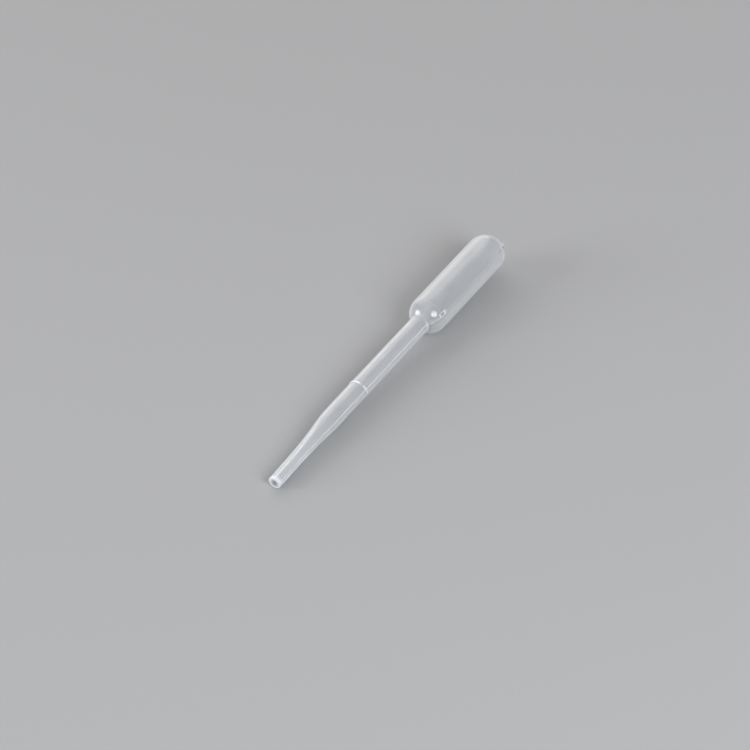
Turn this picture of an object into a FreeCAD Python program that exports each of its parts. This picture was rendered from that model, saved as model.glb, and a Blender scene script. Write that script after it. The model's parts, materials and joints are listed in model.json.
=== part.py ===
"""Dropper pipette of low-density polyethylene, blow moulded in one piece, lying at rest."""
import FreeCAD, Part
import math
import os

# Sizes are in millimetres and angles in degrees.
OVERALL_LENGTH = 87.0  # from the mouth to the bulb's closed end, along the axis

BULB_DIAMETER = 8.7
BULB_STRAIGHT = 22.7  # the bulb's cylinder, between its two round ends
BULB_WALL = 0.28  # the bulb is blown out furthest, so its wall is thinnest
SHOULDER_FILLET = 0.4

STEM_DIAMETER = 4.45
STEM_WALL = 0.45

BEND_LENGTH = 4.0  # the end of the stem, over which the drawn end leans away
BEND_ANGLE = 1.5  # towards -Y, set as the plastic cooled

TAPER_LENGTH = 15.5
TAPER_ROUND = 19.0  # radius of the convex arc where the taper leaves the stem

TIP_DIAMETER = 2.95
TIP_LENGTH = 6.3
TIP_BORE_DIAMETER = 1.25
MOUTH_ROUND = 0.25

SEAM_WIDTH = 0.3
SEAM_HEIGHT = 0.15
SEAM_ROLL = 60.0  # how far the mould's parting plane leans from upright towards -Y

RING_FROM_MOUTH = 32.3
RING_HEIGHT = 0.15
RING_ROUND = 0.35

CUT_PAST = 1.0  # how far a cutting solid runs past the face that it opens

X = FreeCAD.Vector(1, 0, 0)
Y = FreeCAD.Vector(0, 1, 0)
Z = FreeCAD.Vector(0, 0, 1)
ORIGIN = FreeCAD.Vector(0, 0, 0)  # on the axis, where the straight stem meets the bend

bulb_radius = BULB_DIAMETER / 2
stem_radius = STEM_DIAMETER / 2
tip_radius = TIP_DIAMETER / 2
drawn_length = TAPER_LENGTH + TIP_LENGTH
mouth_to_stem = drawn_length + BEND_LENGTH
bulb_back = OVERALL_LENGTH - mouth_to_stem - bulb_radius
bulb_front = bulb_back - BULB_STRAIGHT
bend_radius = BEND_LENGTH / math.radians(BEND_ANGLE)
bend_centre = ORIGIN - Y * bend_radius


def arc(centre, start, end):
    """The shorter arc about a centre from one point to another."""
    middle = (start - centre) + (end - centre)
    middle.normalize()
    return Part.Arc(start, centre + middle * start.distanceToPoint(centre), end).toShape()


def turned(*edges):
    """The solid that a closed outline makes when it is turned about the stem's axis."""
    return Part.Face(Part.Wire(edges)).revolve(ORIGIN, X, 360)


def bent_on(solid):
    """A solid made about the stem's axis, carried round the bend onto the axis of the drawn end."""
    return solid.rotated(bend_centre, Z, BEND_ANGLE)


def bulb_and_stem(ball, tube):
    """The round-ended bulb, of radius ball, and the straight stem, of radius tube, in one."""
    front = X * bulb_front
    back = X * bulb_back
    fillet_before = math.sqrt((ball + SHOULDER_FILLET) ** 2 - (tube + SHOULDER_FILLET) ** 2)
    fillet = front - X * fillet_before + Z * (tube + SHOULDER_FILLET)
    stem_stop = fillet - Z * SHOULDER_FILLET
    shoulder = front + (fillet - front) * (ball / (ball + SHOULDER_FILLET))
    crown = back + X * ball
    return turned(
        Part.makeLine(ORIGIN, Z * tube),
        Part.makeLine(Z * tube, stem_stop),
        arc(fillet, stem_stop, shoulder),
        arc(front, shoulder, front + Z * ball),
        Part.makeLine(front + Z * ball, back + Z * ball),
        arc(back, back + Z * ball, crown),
        Part.makeLine(crown, ORIGIN),
    )


def bend(tube):
    """The end of the stem, of radius tube, curved along the bend."""
    disc = Part.Face(Part.Wire(Part.Circle(ORIGIN, X, tube).toShape()))
    return disc.revolve(bend_centre, Z, BEND_ANGLE)


def taper(wide, narrow):
    """The taper from a wide to a narrow radius: a convex arc, then a concave one, level at both ends."""
    steepest = 2 * math.atan2(wide - narrow, TAPER_LENGTH)
    between_centres = TAPER_LENGTH / math.sin(steepest)
    end = ORIGIN - X * TAPER_LENGTH
    convex = Z * (wide - TAPER_ROUND)
    concave = end + Z * (narrow + between_centres - TAPER_ROUND)
    inflection = convex + (concave - convex) * (TAPER_ROUND / between_centres)
    return bent_on(turned(
        Part.makeLine(ORIGIN, Z * wide),
        arc(convex, Z * wide, inflection),
        arc(concave, inflection, end + Z * narrow),
        Part.makeLine(end + Z * narrow, end),
        Part.makeLine(end, ORIGIN),
    ))


def tip(radius, rounding):
    """The outside of the tip, with its mouth's edge rounded."""
    start = ORIGIN - X * TAPER_LENGTH
    mouth = start - X * TIP_LENGTH
    rim = mouth + Z * (radius - rounding)
    side = mouth + X * rounding + Z * radius
    return bent_on(turned(
        Part.makeLine(start, mouth),
        Part.makeLine(mouth, rim),
        arc(rim + X * rounding, rim, side),
        Part.makeLine(side, start + Z * radius),
        Part.makeLine(start + Z * radius, start),
    ))


def outside(grown):
    """The whole outer form as one solid, with every radius larger by grown."""
    tube = stem_radius + grown
    end = tip_radius + grown
    bulb = bulb_and_stem(bulb_radius + grown, tube)
    return bulb.fuse([bend(tube), taper(tube, end), tip(end, MOUTH_ROUND + grown)])


def inside():
    """The hollow, from the closed end of the bulb out through the mouth."""
    tube = stem_radius - STEM_WALL
    bore_radius = TIP_BORE_DIAMETER / 2
    bulb = bulb_and_stem(bulb_radius - BULB_WALL, tube)
    bore = Part.makeCylinder(bore_radius, TIP_LENGTH + CUT_PAST, ORIGIN - X * TAPER_LENGTH, -X)
    return bulb.fuse([bend(tube), taper(tube, bore_radius), bent_on(bore)])


def parting_slab():
    """A thin slab along the mould's parting plane, which follows the bend."""
    reach = bulb_radius + SEAM_HEIGHT + CUT_PAST
    corner = ORIGIN - Y * (SEAM_WIDTH / 2) - Z * reach
    section = Part.makePlane(SEAM_WIDTH, 2 * reach, corner, X, Y)
    section.rotate(ORIGIN, X, SEAM_ROLL)
    straight = section.extrude(X * OVERALL_LENGTH)
    bent = section.revolve(bend_centre, Z, BEND_ANGLE)
    drawn = section.extrude(-X * (drawn_length + CUT_PAST))
    return straight.fuse([bent, bent_on(drawn)])


def graduation_ring():
    """The raised ring that marks a volume on the stem."""
    middle = ORIGIN + X * (RING_FROM_MOUTH - mouth_to_stem)
    return Part.makeTorus(stem_radius + RING_HEIGHT - RING_ROUND, RING_ROUND, middle, X)


def pipette():
    """The hollow pipette with its seam and ring, its stem along X."""
    seam = outside(SEAM_HEIGHT).common(parting_slab())
    return outside(0).fuse([seam, graduation_ring()]).cut(inside()).removeSplitter()


def resting_tilt():
    """How far the stem dips towards the mouth when the bulb's shoulder and the mouth both touch down."""
    lean = math.radians(BEND_ANGLE)
    apart = bulb_front + bend_radius * math.sin(lean) + (drawn_length - MOUTH_ROUND) * math.cos(lean)
    rise = tip_radius - MOUTH_ROUND
    slope = math.asin((bulb_radius - MOUTH_ROUND) / math.hypot(apart, rise))
    return math.degrees(slope - math.atan2(rise, apart))


def laid_down(solid):
    """The solid at rest on the plane z = 0, with the middle of its base at the origin."""
    resting = solid.rotated(ORIGIN, Y, -resting_tilt())
    box = resting.optimalBoundingBox(False)
    return resting.translated(FreeCAD.Vector(-box.Center.x, -box.Center.y, -box.ZMin))


def main():
    """Build the pipette and write it as a STEP file."""
    os.makedirs("parts", exist_ok=True)
    solid = laid_down(pipette())
    solid.exportStep("parts/pipette.step")
    print(len(solid.Solids), "solid, valid", solid.isValid(), "volume", round(solid.Volume, 2), "mm3")


if __name__ == "__main__":
    main()
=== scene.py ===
"""A one-piece dropper pipette of blow-moulded polyethylene, dressed and lit on a plain studio floor.

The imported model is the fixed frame. The pipette is remodelled here as one fine closed wall, outside and
inside, from the same sizes as its solid, and stands for that solid. Sizes are in millimetres and angles
in degrees until they are used, unless a comment says otherwise, and every object is in metres.
"""

import json
import logging
import math
from collections.abc import Callable
from dataclasses import dataclass, field
from enum import Enum

import bpy
import numpy as np
from mathutils import Euler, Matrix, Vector, noise


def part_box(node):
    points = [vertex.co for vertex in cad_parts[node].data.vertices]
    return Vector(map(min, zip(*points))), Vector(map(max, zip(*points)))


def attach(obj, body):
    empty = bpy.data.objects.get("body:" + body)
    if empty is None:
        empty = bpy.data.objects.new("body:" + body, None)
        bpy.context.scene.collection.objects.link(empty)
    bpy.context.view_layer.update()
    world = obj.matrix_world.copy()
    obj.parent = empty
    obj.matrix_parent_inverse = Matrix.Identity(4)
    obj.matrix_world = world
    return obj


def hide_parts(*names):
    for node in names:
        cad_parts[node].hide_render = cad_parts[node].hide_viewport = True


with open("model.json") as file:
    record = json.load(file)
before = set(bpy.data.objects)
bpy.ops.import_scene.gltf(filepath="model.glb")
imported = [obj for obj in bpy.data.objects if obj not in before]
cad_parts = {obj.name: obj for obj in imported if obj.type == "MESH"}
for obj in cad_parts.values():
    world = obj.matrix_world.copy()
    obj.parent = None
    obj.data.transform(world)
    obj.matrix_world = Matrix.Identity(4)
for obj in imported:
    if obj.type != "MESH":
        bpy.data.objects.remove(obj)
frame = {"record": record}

log = logging.getLogger("pipette")

MM = 0.001
NODE = "pipette"

MERGE_GAP = MM / 1000  # points nearer than this become one
CUT_SLACK = MM * 1e-5  # a point this near a cutting plane is on it
FLAT_SLACK = MM * 1e-6  # less than this outwards, and a face points along the axis
FULL_HAZE_AND_PAINTED_LIGHT = 1.0  # the haze mark of the milkiest resin, where the clearest has 0, and of the brightest painted light

# A Mix node has sockets for each kind of value under the same names, so they go by number.
MIX_FACTOR = 0
MIX_A, MIX_B, MIX_RESULT = 2, 3, 0
MIX_COLOUR_A, MIX_COLOUR_B, MIX_COLOUR_RESULT = 6, 7, 2
NOISE_LOW, NOISE_HIGH = 0.3, 0.7  # the noise texture stays between these nearly everywhere


# ---------------------------------------------------------------------------------------------- helpers


def linear(colour: str) -> tuple[float, float, float, float]:
    """Turn an sRGB hex colour to linear light, by the curve of the sRGB standard.

    Args:
        colour: Six hex digits after a hash sign.

    Returns:
        Red, green, blue and an alpha of 1.
    """
    parts = [int(colour[at : at + 2], 16) / 255 for at in (1, 3, 5)]
    red, green, blue = (c / 12.92 if c <= 0.04045 else ((c + 0.055) / 1.055) ** 2.4 for c in parts)
    return red, green, blue, 1.0


def add_node(
    tree: bpy.types.NodeTree,
    kind: str,
    settings: dict[str | int, object] | None = None,
    links: dict[str | int, bpy.types.NodeSocket] | None = None,
) -> bpy.types.Node:
    """Add a node to a tree with its settings and links.

    Args:
        tree: The node tree that gets the node.
        kind: The node's type name.
        settings: Values by the name of a property or by the name or number of an input, properties first.
        links: Sockets to read, by the name or number of the input that reads them.

    Returns:
        The new node.
    """
    node = tree.nodes.new(kind)
    for name, value in (settings or {}).items():
        if isinstance(name, str) and name not in node.inputs:
            setattr(node, name, value)
        else:
            node.inputs[name].default_value = value
    for name, socket in (links or {}).items():
        tree.links.new(socket, node.inputs[name])
    return node


def new_material(name: str) -> tuple[bpy.types.Material, bpy.types.NodeTree]:
    """Make a material with an empty node tree.

    Args:
        name: The material's name.

    Returns:
        The material and its tree.
    """
    material = bpy.data.materials.new(name)
    material.use_nodes = True
    material.node_tree.nodes.clear()
    return material, material.node_tree


def towards(azimuth: float, elevation: float) -> Vector:
    """The direction of something seen at an azimuth, from -Y round towards +X, and an elevation.

    Args:
        azimuth: Degrees round from -Y towards +X.
        elevation: Degrees above the horizon.

    Returns:
        A unit vector.
    """
    a, e = math.radians(azimuth), math.radians(elevation)
    return Vector((math.sin(a) * math.cos(e), -math.cos(a) * math.cos(e), math.sin(e)))


def facing(obj: bpy.types.Object, place: Vector, aim: Vector) -> None:
    """Put a lamp or camera at a place, looking at a point.

    Args:
        obj: The lamp or camera.
        place: Where it stands.
        aim: The point that it looks at.
    """
    obj.location = place
    obj.rotation_euler = (aim - place).to_track_quat("-Z", "Y").to_euler()


# ---------------------------------------------------------------------------------------------- finishes


@dataclass(frozen=True)
class MouldedPolyethylene:
    """Natural low-density polyethylene, blow moulded and left unpainted.

    The resin is waxy and colourless. Its crystals scatter light, so a thin wall is clear but hazy, and
    turns milky where it is thick, where it is seen along its length and where it is squeezed or cut. The
    haze mark also paints light as milkiness: a painted floor reflection, a painted light arc, painted
    highlight lines and painted glints. The mould leaves the skin smooth, with a faint orange peel.
    """

    name: str = "blow_moulded_ldpe"
    haze_and_light_mark: str = "haze"  # the piece's attribute, from 0 for the clearest wall to full haze, which also carries painted light
    thin_wall: str = "#F1F3F6"
    # the colour at full haze, both for milky resin and for painted highlights, glints and a painted floor
    # reflection
    milky_and_painted_light_wall: str = "#EEF3FA"
    clear_share: float = 0.72  # of the light that enters a thin wall square on, what passes unscattered
    edge_share: float = 0.1  # the same where a thin wall is seen along its length
    milky_and_painted_light_share: float = 0.1  # the same where the wall is milkiest and where light is painted as milkiness
    leaving_share: float = 1.0  # the same on the way out of a thin wall, which scatters on the way in
    slant_from: float = 0.38  # the slant where a thin wall starts to turn milky, with 0 for square on
    slant_to: float = 1.0  # edge on
    ior: float = 1.51
    roughness: float = 0.12
    mottle_size: float = 3.0  # mm, slow changes in how dense the cooled resin is
    mottle_detail: float = 3.0  # finer layers of the noise
    mottle_roughness: float = 0.6
    mottle_depth: float = 0.02
    skin_size: float = 0.7  # mm, the skin's orange peel, which the mould's blasted steel leaves
    skin_detail: float = 2.0  # finer layers of the noise
    skin_height: float = 0.0002  # mm

    def make(self) -> bpy.types.Material:
        """Build the material.

        Returns:
            The material.
        """
        material, tree = new_material(self.name)
        place = add_node(tree, "ShaderNodeTexCoord").outputs["Object"]
        in_mm = add_node(tree, "ShaderNodeVectorMath", {"operation": "SCALE", "Scale": 1 / MM}, {0: place})
        haze = add_node(tree, "ShaderNodeAttribute", {"attribute_name": self.haze_and_light_mark})
        mottle = add_node(
            tree,
            "ShaderNodeTexNoise",
            {
                "Scale": 1 / self.mottle_size,
                "Detail": self.mottle_detail,
                "Roughness": self.mottle_roughness,
            },
            {"Vector": in_mm.outputs[0]},
        )
        # the base colour and the share that passes follow the haze mark, which carries real milkiness and
        # painted light
        resin = add_node(
            tree,
            "ShaderNodeMix",
            {
                "data_type": "RGBA",
                MIX_COLOUR_A: linear(self.thin_wall),
                MIX_COLOUR_B: linear(self.milky_and_painted_light_wall),
            },
            {MIX_FACTOR: haze.outputs["Fac"]},
        )
        density = add_node(
            tree,
            "ShaderNodeMapRange",
            {
                "From Min": NOISE_LOW,
                "From Max": NOISE_HIGH,
                "To Min": 1 - self.mottle_depth,
                "To Max": 1 + self.mottle_depth,
            },
            {"Value": mottle.outputs["Fac"]},
        )
        cloudy_and_painted_light = add_node(
            tree,
            "ShaderNodeVectorMath",
            {"operation": "SCALE"},
            {0: resin.outputs[MIX_COLOUR_RESULT], "Scale": density.outputs["Result"]},
        )
        slant = add_node(tree, "ShaderNodeLayerWeight")
        through_thin = add_node(
            tree,
            "ShaderNodeMapRange",
            {
                "From Min": self.slant_from,
                "From Max": self.slant_to,
                "To Min": self.clear_share,
                "To Max": self.edge_share,
            },
            {"Value": slant.outputs["Facing"]},
        )
        leaving = add_node(tree, "ShaderNodeNewGeometry").outputs["Backfacing"]
        through_clear = add_node(
            tree,
            "ShaderNodeMix",
            {"data_type": "FLOAT", MIX_B: self.leaving_share},
            {MIX_FACTOR: leaving, MIX_A: through_thin.outputs["Result"]},
        )
        through = add_node(
            tree,
            "ShaderNodeMix",
            {"data_type": "FLOAT", MIX_B: self.milky_and_painted_light_share},
            {MIX_FACTOR: haze.outputs["Fac"], MIX_A: through_clear.outputs[MIX_RESULT]},
        )
        skin = add_node(
            tree,
            "ShaderNodeTexNoise",
            {"Scale": 1 / self.skin_size, "Detail": self.skin_detail},
            {"Vector": in_mm.outputs[0]},
        )
        bump = add_node(
            tree,
            "ShaderNodeBump",
            {"Strength": 1.0, "Distance": self.skin_height * MM},
            {"Height": skin.outputs["Fac"]},
        )
        shader = add_node(
            tree,
            "ShaderNodeBsdfPrincipled",
            {"IOR": self.ior, "Roughness": self.roughness},
            {
                "Base Color": cloudy_and_painted_light.outputs[0],
                "Transmission Weight": through.outputs[MIX_RESULT],
                "Normal": bump.outputs["Normal"],
            },
        )
        add_node(tree, "ShaderNodeOutputMaterial", links={"Surface": shader.outputs["BSDF"]})
        return material


@dataclass(frozen=True)
class MattPaper:
    """Seamless background paper, uncoated, so that it shows no gloss."""

    name: str = "background_paper"
    tone: str = "#B2B3B5"
    roughness: float = 0.9
    fibre_size: float = 0.8  # mm
    fibre_detail: float = 2.0  # finer layers of the noise
    fibre_depth: float = 0.015

    def make(self) -> bpy.types.Material:
        """Build the material.

        Returns:
            The material.
        """
        material, tree = new_material(self.name)
        place = add_node(tree, "ShaderNodeTexCoord").outputs["Object"]
        fibres = add_node(
            tree,
            "ShaderNodeTexNoise",
            {"Scale": 1 / (self.fibre_size * MM), "Detail": self.fibre_detail},
            {"Vector": place},
        )
        shade = add_node(
            tree,
            "ShaderNodeMapRange",
            {"To Min": 1 - self.fibre_depth, "To Max": 1 + self.fibre_depth},
            {"Value": fibres.outputs["Fac"]},
        )
        tone = add_node(
            tree,
            "ShaderNodeVectorMath",
            {"operation": "SCALE", 0: linear(self.tone)[:3]},
            {"Scale": shade.outputs["Result"]},
        )
        shader = add_node(
            tree,
            "ShaderNodeBsdfPrincipled",
            {"Roughness": self.roughness, "Specular IOR Level": 0.0},
            {"Base Color": tone.outputs[0]},
        )
        add_node(tree, "ShaderNodeOutputMaterial", links={"Surface": shader.outputs["BSDF"]})
        return material


# ---------------------------------------------------------------------------------------------- modelling


@dataclass
class Pen:
    """Draws an outline in the XZ plane, as the edges of one mesh.

    Lines are drawn by extruding the last point, and arcs by spinning it.
    """

    name: str
    start: tuple[float, float]
    line_pitch: float = 1.0  # the longest step in a line or an arc
    arc_pitch: float = 4.0  # degrees, the widest step in an arc
    arc_steps: int = 2  # the fewest steps in an arc
    piece: bpy.types.Object = field(init=False)
    place: Vector = field(init=False)

    def __post_init__(self) -> None:
        """Start with one vertex, selected, in edit mode."""
        self.place = Vector((self.start[0], 0, self.start[1]))
        bpy.ops.object.select_all(action="DESELECT")
        bpy.ops.mesh.primitive_plane_add(size=MM, location=(0, 0, 0))
        self.piece = bpy.context.object
        self.piece.name = self.piece.data.name = self.name
        bpy.ops.object.mode_set(mode="EDIT")
        bpy.ops.mesh.select_all(action="SELECT")
        bpy.ops.mesh.merge(type="CENTER")
        bpy.ops.transform.translate(value=self.place * MM)

    def line(self, x: float, z: float) -> None:
        """Draw a straight run to a point.

        Args:
            x: The end's place along the axis.
            z: The end's distance from the axis.
        """
        run = Vector((x, 0, z)) - self.place
        steps = max(1, math.ceil(run.length / self.line_pitch))
        for _ in range(steps):
            bpy.ops.mesh.extrude_vertices_move(TRANSFORM_OT_translate={"value": run / steps * MM})
        self.place += run

    def arc(self, x: float, z: float, sweep: float) -> None:
        """Draw an arc about a centre.

        Args:
            x: The centre's place along the axis.
            z: The centre's distance from the axis.
            sweep: Degrees turned from +X towards +Z, negative the other way.
        """
        centre = Vector((x, 0, z))
        arm = self.place - centre
        length = arm.length * abs(math.radians(sweep))
        by_angle = math.ceil(abs(sweep) / self.arc_pitch)
        by_length = math.ceil(length / self.line_pitch)
        bpy.ops.mesh.spin(
            steps=max(by_angle, by_length, self.arc_steps),
            angle=math.radians(abs(sweep)),
            center=centre * MM,
            axis=(0, math.copysign(1, sweep), 0),
        )
        arm.rotate(Euler((0, -math.radians(sweep), 0)))
        self.place = centre + arm

    def turn(self, steps: int) -> bpy.types.Object:
        """Turn the outline about the X axis into a closed skin, and leave edit mode.

        Args:
            steps: How many steps make the whole turn.

        Returns:
            The turned piece.
        """
        bpy.ops.mesh.select_all(action="SELECT")
        bpy.ops.mesh.spin(
            steps=steps,
            angle=math.tau,
            center=(0, 0, 0),
            axis=(1, 0, 0),
            use_auto_merge=True,
        )
        bpy.ops.mesh.select_all(action="SELECT")
        bpy.ops.mesh.remove_doubles(threshold=MERGE_GAP)
        bpy.ops.mesh.normals_make_consistent(inside=False)
        bpy.ops.object.mode_set(mode="OBJECT")
        return self.piece


def select_faces(piece: bpy.types.Object, wanted: Callable[[bpy.types.MeshPolygon], bool]) -> None:
    """Select a piece's faces that pass a test, and nothing else, and stay in edit mode.

    Args:
        piece: The piece.
        wanted: The test.
    """
    bpy.ops.object.mode_set(mode="EDIT")
    bpy.ops.mesh.select_mode(type="FACE")
    bpy.ops.mesh.select_all(action="DESELECT")
    bpy.ops.object.mode_set(mode="OBJECT")
    for face in piece.data.polygons:
        face.select = wanted(face)
    bpy.ops.object.mode_set(mode="EDIT")


def is_outer(face: bpy.types.MeshPolygon) -> bool:
    """Whether a face of a wall turned about the X axis points away from the axis.

    Args:
        face: The face.

    Returns:
        True on the outer skin, and False on the hollow's and on the flat of the mouth.
    """
    return face.normal.dot(Vector((0, face.center.y, face.center.z))) > FLAT_SLACK


@dataclass(frozen=True)
class WallPoint:
    """A point of the wall, while the pipette is straight and its axis is X."""

    place: Vector  # in metres, as in the mesh
    side: float  # how far it is off the mould's parting plane, below 0 on the lower side
    outer: bool  # on the outer skin, and not on the hollow's

    @property
    def x(self) -> float:
        """Where it is along the axis."""
        return self.place.x / MM

    @property
    def radius(self) -> float:
        """How far it is off the axis."""
        return math.hypot(self.place.y, self.place.z) / MM


@dataclass(frozen=True)
class MouldMarksAndPaintedLight:
    """How milky the resin is, from 0 to FULL_HAZE_AND_PAINTED_LIGHT, and where the mould leaves its marks.

    The resin is milky where the wall is thick, and where the closing mould squeezes it. The marks also
    paint light as milkiness: a painted floor reflection on the lower side, a painted light arc on the -Y
    side of the neck, painted highlight lines along the seam on the shoulder and painted glints on the
    ring.
    """

    tip: float = 0.32  # the wall is thickest at the tip
    stem: float = 0.08
    fades_over: float = 1.0  # past the neck, until the wall is as clear as the bulb's
    hollow: float = 0.4  # the share of it that the hollow's skin shows
    lower: float = 0.08  # added on the lower side of the parting plane, a painted reflection of the floor
    join: float = 0.09  # added along the faint arc ahead of the bulb's straight part
    join_ahead: float = 0.57  # the middle of that arc
    join_reach: float = 0.1  # to each side of its middle
    neck_from: float = 0.05  # past the neck, where the painted light arc on the -Y side starts
    neck_to: float = 0.22
    neck_top: float = 0.7  # the height where that arc ends, as a share of the radius
    seam: float = 0.8  # the top of the seam, from the mouth to the neck
    seam_bulb: float = 0.08  # past the neck, where the seam is drawn thin
    seam_tail: float = 0.6  # on the closed end, where the seam is highest
    seam_slack: float = 0.01  # a point this far off the seam's flat top is still on it
    strip_width: float = 0.8  # the strip along the seam on the shoulder, whose edges and cross lines are painted highlights
    strip_past: float = 0.3  # where its edges stop on the bulb's straight part
    strip_upper: float = 1.2  # where its upper edge starts, ahead of the bulb's straight part
    strip_lines: tuple[tuple[float, float], ...] = ((0.25, 0.05), (-1.1, 0.15))  # painted highlight lines across it: middle, reach
    strip_slack: float = 0.03  # a point this far off the strip's edge is still on it
    ring: float = 0.8  # on average; the patches are painted glints on a milky bead
    ring_lower: float = 0.6  # the share of it on the lower side of the parting plane, where the painted glints are fainter
    ring_slack: float = 0.02  # a point this far off the stem isn't on the ring yet
    ring_patches: float = 0.9  # about how many there are in a millimetre
    ring_patch_depth: float = 1.6  # how much they differ, as a share of the average
    ring_patch_start: float = 2.7  # where on the noise the patches start


@dataclass
class Pipette:
    """The pipette, with the mould's seam along both sides.

    It has a closed bulb, a shoulder, a stem with its ring, a taper and a tip.
    """

    finish: MouldedPolyethylene
    marks: MouldMarksAndPaintedLight
    overall_length: float = 87.0
    bulb_diameter: float = 8.7
    bulb_straight: float = 22.7
    bulb_wall: float = 0.28
    shoulder_fillet: float = 0.4
    shoulder_row: float = 0.25  # past both ends of the shoulder, a row of points that bounds its marks
    stem_diameter: float = 4.45
    stem_wall: float = 0.45
    bend_length: float = 4.0
    bend_angle: float = 1.5
    taper_length: float = 15.5
    taper_round: float = 19.0
    tip_diameter: float = 2.95
    tip_length: float = 6.3
    tip_bore: float = 1.25
    mouth_round: float = 0.25
    seam_width: float = 0.3
    seam_top: float = 0.12  # the flat on top of the seam
    seam_height: float = 0.15
    seam_height_bulb: float = 0.04  # along the bulb's straight part, where the blown wall is stretched
    seam_low_from: float = 0.5  # into the bulb's straight part, where the seam gets that low
    tail_height: float = 0.33  # the seam on the closed end, where the mould pinched the tube shut
    tail_from: float = 2.2  # past the bulb's straight part, where the seam gets that high
    tail_to: float = 4.1
    seam_roll: float = 60.0  # how far the parting plane leans from upright towards -Y
    ring_from_mouth: float = 32.3
    ring_height: float = 0.15
    ring_round: float = 0.35
    turn_steps: int = 128
    crease: float = 30.0  # degrees, above which an edge stays sharp
    piece: bpy.types.Object = field(init=False)

    @property
    def mouth(self) -> float:
        """Where the mouth is along the axis, with the straight stem's end at 0."""
        return -(self.bend_length + self.taper_length + self.tip_length)

    @property
    def bulb_back(self) -> float:
        """The centre of the bulb's round closed end."""
        return self.mouth + self.overall_length - self.bulb_diameter / 2

    @property
    def bulb_front(self) -> float:
        """The centre of the bulb's round shoulder."""
        return self.bulb_back - self.bulb_straight

    @property
    def neck(self) -> float:
        """Where the straight stem meets the shoulder's fillet."""
        return self.shoulder(self.bulb_diameter / 2, self.stem_diameter / 2)[0]

    def shoulder(self, ball: float, tube: float) -> tuple[float, float, float, float]:
        """Work out the fillet that joins the round shoulder to the stem.

        Args:
            ball: The shoulder's radius.
            tube: The stem's radius.

        Returns:
            The fillet's centre along and off the axis, and the degrees that the shoulder and the fillet
            sweep.
        """
        reach = math.sqrt((ball + self.shoulder_fillet) ** 2 - (tube + self.shoulder_fillet) ** 2)
        rise = tube + self.shoulder_fillet
        left = math.degrees(math.atan2(rise, reach))
        return self.bulb_front - reach, rise, 90 - left, 90 - left

    def taper(self, wide: float, narrow: float) -> tuple[float, float]:
        """Work out the two arcs of the taper, level at both ends.

        Args:
            wide: The radius at the stem.
            narrow: The radius at the tip.

        Returns:
            The concave arc's radius, and the degrees that each arc sweeps.
        """
        sweep = 2 * math.atan2(wide - narrow, self.taper_length)
        return self.taper_length / math.sin(sweep) - self.taper_round, math.degrees(sweep)

    def draw_outside(self, pen: Pen) -> None:
        """Draw the outer skin's outline, from the bulb's closed end to the mouth's edge.

        Args:
            pen: The pen, on the axis at the closed end.
        """
        ball, tube, end = self.bulb_diameter / 2, self.stem_diameter / 2, self.tip_diameter / 2
        fillet_x, fillet_z, round_sweep, fillet_sweep = self.shoulder(ball, tube)
        concave, sweep = self.taper(tube, end)
        taper_end = self.mouth + self.tip_length
        ring_x = self.mouth + self.ring_from_mouth
        ring_z = tube + self.ring_height - self.ring_round
        ring_edge = math.asin((tube - ring_z) / self.ring_round)
        pen.arc(self.bulb_back, 0, 90)
        pen.line(self.bulb_front + self.shoulder_row, ball)
        pen.line(self.bulb_front, ball)
        pen.arc(self.bulb_front, 0, round_sweep)
        pen.arc(fillet_x, fillet_z, -fillet_sweep)
        pen.line(fillet_x - self.shoulder_row, tube)
        pen.line(ring_x + self.ring_round * math.cos(ring_edge), tube)
        pen.arc(ring_x, ring_z, 180 - 2 * math.degrees(ring_edge))
        pen.line(0, tube)
        pen.line(-self.bend_length, tube)
        pen.arc(-self.bend_length, tube - self.taper_round, sweep)
        pen.arc(taper_end, end + concave, -sweep)
        pen.line(self.mouth + self.mouth_round, end)
        pen.arc(self.mouth + self.mouth_round, end - self.mouth_round, 90)

    def draw_inside(self, pen: Pen) -> None:
        """Draw the hollow's outline, from the mouth back to the bulb's closed end.

        Args:
            pen: The pen, at the mouth's edge.
        """
        ball = self.bulb_diameter / 2 - self.bulb_wall
        tube = self.stem_diameter / 2 - self.stem_wall
        bore = self.tip_bore / 2
        fillet_x, fillet_z, round_sweep, fillet_sweep = self.shoulder(ball, tube)
        concave, sweep = self.taper(tube, bore)
        taper_end = self.mouth + self.tip_length
        pen.line(self.mouth, bore)
        pen.line(taper_end, bore)
        pen.arc(taper_end, bore + concave, sweep)
        pen.arc(-self.bend_length, tube - self.taper_round, -sweep)
        pen.line(0, tube)
        pen.line(fillet_x, tube)
        pen.arc(fillet_x, fillet_z, fillet_sweep)
        pen.arc(self.bulb_front, 0, -round_sweep)
        pen.line(self.bulb_back, ball)
        pen.arc(self.bulb_back, 0, -90)

    def parting(self) -> Vector:
        """The direction square to the mould's parting plane.

        Returns:
            A unit vector.
        """
        roll = math.radians(self.seam_roll)
        return Vector((0, math.cos(roll), math.sin(roll)))

    def raise_seam(self) -> None:
        """Cut the outer skin beside the parting plane, and lift the strip between the cuts to a ridge."""
        normal = self.parting()
        half_widths = (self.marks.strip_width / 2, self.seam_width / 2, self.seam_top / 2)
        for offset in (sign * half for sign in (1, -1) for half in half_widths):
            select_faces(self.piece, is_outer)
            bpy.ops.mesh.bisect(plane_co=normal * offset * MM, plane_no=normal, threshold=CUT_SLACK)
        low_from, back = self.bulb_front + self.seam_low_from, self.bulb_back
        self.lift_seam(self.seam_height_bulb, lambda x: True)
        self.lift_seam(self.seam_height - self.seam_height_bulb, lambda x: not low_from < x < back)
        self.lift_seam(
            self.tail_height - self.seam_height,
            lambda x: back + self.tail_from < x < back + self.tail_to,
        )

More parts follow.
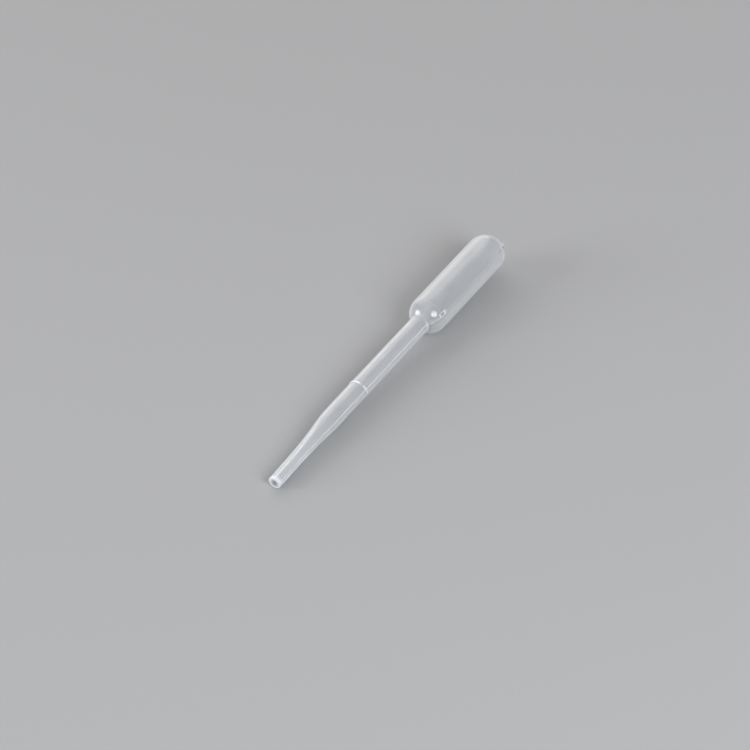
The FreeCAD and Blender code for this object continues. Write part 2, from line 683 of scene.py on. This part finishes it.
    def lift_seam(self, height: float, wanted: Callable[[float], bool]) -> None:
        """Lift the top of the seam, all along or in places, but not on the mouth.

        Args:
            height: How far.
            wanted: A test on a place along the axis.
        """
        normal = self.parting()
        select_faces(
            self.piece,
            lambda face: is_outer(face)
            and abs(face.center.dot(normal)) < self.seam_top / 2 * MM
            and face.center.x > (self.mouth + self.mouth_round) * MM
            and wanted(face.center.x / MM),
        )
        bpy.ops.transform.shrink_fatten(value=height * MM)
        bpy.ops.object.mode_set(mode="OBJECT")

    def wall_haze_and_reflection(self, point: WallPoint) -> float:
        """Work out how milky the plain wall is, which follows its thickness.

        Args:
            point: A point of the wall.

        Returns:
            The haze, with a painted floor reflection added on the lower side, and a little more along the
            arc ahead of the bulb.
        """
        clear_from = self.neck + self.marks.fades_over
        stations = (self.mouth + self.tip_length, -self.bend_length, self.neck, clear_from)
        hazes = (self.marks.tip, self.marks.stem, self.marks.stem, 0)
        haze = float(np.interp(point.x, stations, hazes)) * (1 if point.outer else self.marks.hollow)
        # painted reflection of the floor, as milkiness on the lower side
        if point.side < 0:
            haze += self.marks.lower
        off_join = abs(point.x - self.bulb_front + self.marks.join_ahead)
        if point.side > 0 and point.outer and off_join < self.marks.join_reach:
            haze += self.marks.join
        return haze

    def seam_haze(self, point: WallPoint) -> float:
        """Work out how milky the top of the seam is.

        Args:
            point: A point of the wall.

        Returns:
            The haze, or 0 if the point isn't on the seam.
        """
        if not point.outer or abs(point.side) >= self.seam_top / 2 + self.marks.seam_slack:
            return 0.0
        if point.x > self.bulb_back + self.tail_from:
            return self.marks.seam_tail
        return self.marks.seam if point.x < self.neck else self.marks.seam_bulb

    def ring_haze_and_glints(self, point: WallPoint) -> float:
        """Work out how milky the ring is, which is broken into patches.

        Args:
            point: A point of the wall.

        Returns:
            The haze with painted glints, or 0 if the point isn't on the ring.
        """
        off_ring = abs(point.x - (self.mouth + self.ring_from_mouth))
        if off_ring >= self.ring_round or point.radius <= self.stem_diameter / 2 + self.marks.ring_slack:
            return 0.0
        # The patches are painted glints: milkier spots that stand in for light catching the ring.
        start = Vector((self.marks.ring_patch_start, 0, 0))
        patch = noise.noise(point.place / MM * self.marks.ring_patches + start)
        uneven = 1 + self.marks.ring_patch_depth * patch
        return self.marks.ring * uneven * (1 if point.side > 0 else self.marks.ring_lower)

    def on_painted_neck_arc(self, point: WallPoint) -> bool:
        """Whether a point is on the milky arc round the -Y side of the neck.

        Args:
            point: A point of the wall.

        Returns:
            True if it is.
        """
        # The arc is a painted light line: milkiness that stands in for the light arc seen through the
        # shoulder.
        below_top = point.place.z / MM < self.marks.neck_top * point.radius
        in_reach = self.marks.neck_from < point.x - self.neck < self.marks.neck_to
        return point.place.y < 0 and below_top and in_reach

    def on_painted_highlight_line(self, point: WallPoint) -> bool:
        """Whether a point is on the edges or the cross lines of the squeezed strip along the seam.

        Args:
            point: A point of the wall.

        Returns:
            True if it is.
        """
        # The strip's edges and cross lines are painted highlights, milky lines where the seam's flash
        # catches the light on the shoulder.
        if not point.outer:
            return False
        half = self.marks.strip_width / 2
        past = point.x - self.bulb_front
        off_plane = abs(point.side)
        along = self.neck < point.x and past < self.marks.strip_past
        edge = along and abs(off_plane - half) < self.marks.strip_slack
        edge_shows = point.side < 0 or past > -self.marks.strip_upper
        across = any(abs(past - middle) < reach for middle, reach in self.marks.strip_lines)
        return (edge and edge_shows) or (across and off_plane < half + self.marks.strip_slack)

    def on_mouth(self, point: WallPoint) -> bool:
        """Whether a point is on the mouth's rounded edge.

        Args:
            point: A point of the wall.

        Returns:
            True if it is.
        """
        return point.outer and point.x < self.mouth + self.mouth_round

    def mark_haze_and_painted_light(self) -> None:
        """Mark how milky each point of the straight pipette is."""
        across = self.parting()
        mark = self.piece.data.attributes.new(self.finish.haze_and_light_mark, "FLOAT", "POINT")
        for vertex, value in zip(self.piece.data.vertices, mark.data):
            outer = vertex.normal.dot(vertex.co * Vector((0, 1, 1))) > 0
            point = WallPoint(vertex.co, vertex.co.dot(across) / MM, outer)
            # the neck arc and the strip's lines are painted light at full haze, and the cut mouth is milky
            if self.on_painted_neck_arc(point) or self.on_painted_highlight_line(point) or self.on_mouth(point):
                value.value = FULL_HAZE_AND_PAINTED_LIGHT
            else:
                value.value = max(self.wall_haze_and_reflection(point), self.seam_haze(point), self.ring_haze_and_glints(point))

    def bend(self) -> None:
        """Lean the drawn end towards -Y, over the end of the stem."""
        length = self.overall_length
        bend = self.piece.modifiers.new("bend", "SIMPLE_DEFORM")
        bend.deform_method = "BEND"
        bend.deform_axis = "Z"
        bend.limits = ((-self.bend_length - self.mouth) / length, -self.mouth / length)
        bend.angle = -math.radians(self.bend_angle)
        bpy.ops.object.modifier_apply(modifier=bend.name)

    def lay_down(self) -> None:
        """Dip the stem as it lies at rest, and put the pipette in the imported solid's box."""
        grip = next(m for m in frame["record"]["mounts"] if m["name"] == "stem_grip")
        self.piece.rotation_euler = (0, -math.asin(grip["axis"][2]), 0)
        bpy.ops.object.transform_apply(location=False, rotation=True, scale=False)
        low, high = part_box(NODE)
        places = [vertex.co for vertex in self.piece.data.vertices]
        lowest, highest = ([pick(co[at] for co in places) for at in range(3)] for pick in (min, max))
        along, across = ((high[at] + low[at] - lowest[at] - highest[at]) / 2 for at in range(2))
        self.piece.location = (along, across, low.z - lowest[2])
        bpy.ops.object.transform_apply(location=True, rotation=False, scale=False)

    def build(self) -> bpy.types.Object:
        """Model the pipette and dress it.

        Returns:
            The piece.
        """
        pen = Pen("pipette_body", (self.bulb_back + self.bulb_diameter / 2, 0))
        self.draw_outside(pen)
        self.draw_inside(pen)
        self.piece = pen.turn(self.turn_steps)
        self.raise_seam()
        self.mark_haze_and_painted_light()
        self.bend()
        self.lay_down()
        bpy.ops.object.shade_smooth_by_angle(angle=math.radians(self.crease))
        self.piece.data.materials.clear()
        self.piece.data.materials.append(self.finish.make())
        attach(self.piece, "root")
        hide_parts(NODE)
        return self.piece


# ---------------------------------------------------------------------------------------------- studio


class LampShape(Enum):
    """The front of a lamp."""

    SQUARE = "SQUARE"
    ROUND = "DISK"


@dataclass
class Softbox:
    """A flat lamp that looks at the pipette."""

    name: str
    azimuth: float
    elevation: float
    distance: float  # metres
    side: float  # metres, or the diameter of a round one
    power: float  # watts
    shape: LampShape = LampShape.SQUARE
    colour: str = "#FFFFFF"

    def build(self, aim: Vector) -> bpy.types.Object:
        """Make the lamp.

        Args:
            aim: The point that it looks at.

        Returns:
            The lamp.
        """
        data = bpy.data.lights.new(self.name, "AREA")
        data.shape = self.shape.value
        data.size = self.side
        data.energy = self.power
        data.color = linear(self.colour)[:3]
        lamp = bpy.data.objects.new(self.name, data)
        bpy.context.scene.collection.objects.link(lamp)
        facing(lamp, aim + towards(self.azimuth, self.elevation) * self.distance, aim)
        lamp.visible_camera = False
        return lamp


@dataclass
class Studio:
    """The floor, the soft light and the camera."""

    floor_side: float = 6.0  # metres
    room_tone: str = "#FBFBFC"
    room_light: float = 0.39
    softboxes: tuple[Softbox, ...] = (
        Softbox(
            "softbox_back",
            azimuth=141,
            elevation=31,
            distance=1.4,
            side=1.6,
            power=10.0,
            colour="#FFFAF4",
        ),
        Softbox(
            "lamp_left",
            azimuth=-135,
            elevation=14,
            distance=0.8,
            side=0.48,
            power=3.8,
            shape=LampShape.ROUND,
        ),
        Softbox(
            "lamp_right",
            azimuth=-19,
            elevation=35,
            distance=0.8,
            side=0.48,
            power=3.8,
            shape=LampShape.ROUND,
        ),
    )
    camera_azimuth: float = -56.4
    camera_elevation: float = 41.9
    camera_distance: float = 767.9
    focal_length: float = 172.8
    sensor: float = 36.0
    aim: tuple[float, float, float] = (-6.05, -0.79, 3.71)

    def build_floor(self) -> bpy.types.Object:
        """Lay the paper floor.

        Returns:
            The floor.
        """
        bpy.ops.object.select_all(action="DESELECT")
        bpy.ops.mesh.primitive_plane_add(size=self.floor_side, location=(0, 0, 0))
        floor = bpy.context.object
        floor.name = floor.data.name = "floor"
        floor.data.materials.append(MattPaper().make())
        return floor

    def build_room(self) -> None:
        """Fill the room with even light."""
        world = bpy.data.worlds.new("room")
        world.use_nodes = True
        world.node_tree.nodes.clear()
        light = add_node(
            world.node_tree,
            "ShaderNodeBackground",
            {"Color": linear(self.room_tone), "Strength": self.room_light},
        )
        add_node(world.node_tree, "ShaderNodeOutputWorld", links={"Surface": light.outputs["Background"]})
        bpy.context.scene.world = world

    def build_camera(self) -> bpy.types.Object:
        """Set up the camera.

        Returns:
            The camera.
        """
        data = bpy.data.cameras.new("camera")
        data.sensor_width = self.sensor
        data.lens = self.focal_length
        camera = bpy.data.objects.new("camera", data)
        bpy.context.scene.collection.objects.link(camera)
        aim = Vector(self.aim) * MM
        direction = towards(self.camera_azimuth, self.camera_elevation)
        facing(camera, aim + direction * self.camera_distance * MM, aim)
        bpy.context.scene.camera = camera
        return camera

    def build(self) -> list[bpy.types.Object]:
        """Build the whole studio.

        Returns:
            The floor, the lamps and the camera.
        """
        bpy.context.scene.view_settings.view_transform = "Standard"
        self.build_room()
        aim = Vector((0, 0, 0))
        return [self.build_floor(), *(box.build(aim) for box in self.softboxes), self.build_camera()]


def main() -> None:
    """Build the pipette and its studio, and write down how large each model is."""
    logging.basicConfig(level=logging.INFO, format="%(name)s: %(message)s")
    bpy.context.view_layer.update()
    for obj in (Pipette(MouldedPolyethylene(), MouldMarksAndPaintedLight()).build(), *Studio().build()):
        faces = len(obj.data.polygons) if obj.type == "MESH" else 0
        log.info("%s: %s, %d faces", obj.name, obj.type.lower(), faces)


if __name__ == "__main__":
    main()
